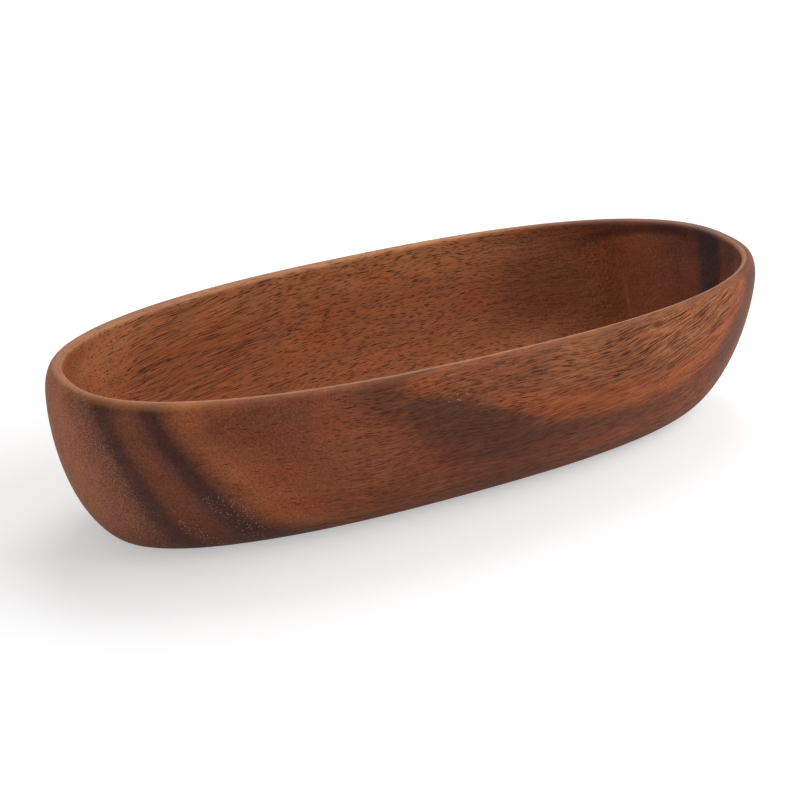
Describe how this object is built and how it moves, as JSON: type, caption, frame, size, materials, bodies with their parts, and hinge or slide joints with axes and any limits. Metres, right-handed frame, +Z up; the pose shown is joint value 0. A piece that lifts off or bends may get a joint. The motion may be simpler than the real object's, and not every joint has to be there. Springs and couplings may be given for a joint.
{
  "type": "wooden snack boat",
  "caption": "Long oval bowl carved from one block of dark-streaked reddish brown wood, with a flat foot, walls that belly outwards, rounded ends and a softly rolled rim.",
  "frame": {"origin": "middle of the flat foot, on the surface that the bowl stands on", "axes": "+X along the length towards the slightly fuller end of the hollow, +Y across the width, +Z up out of the open mouth"},
  "size_m": [0.3, 0.114, 0.065],
  "materials": {
    "wood": "oiled, satin, open-pored"
  },
  "bodies": {
    "root": {"boat": "wood"}
  },
  "joints": []
}
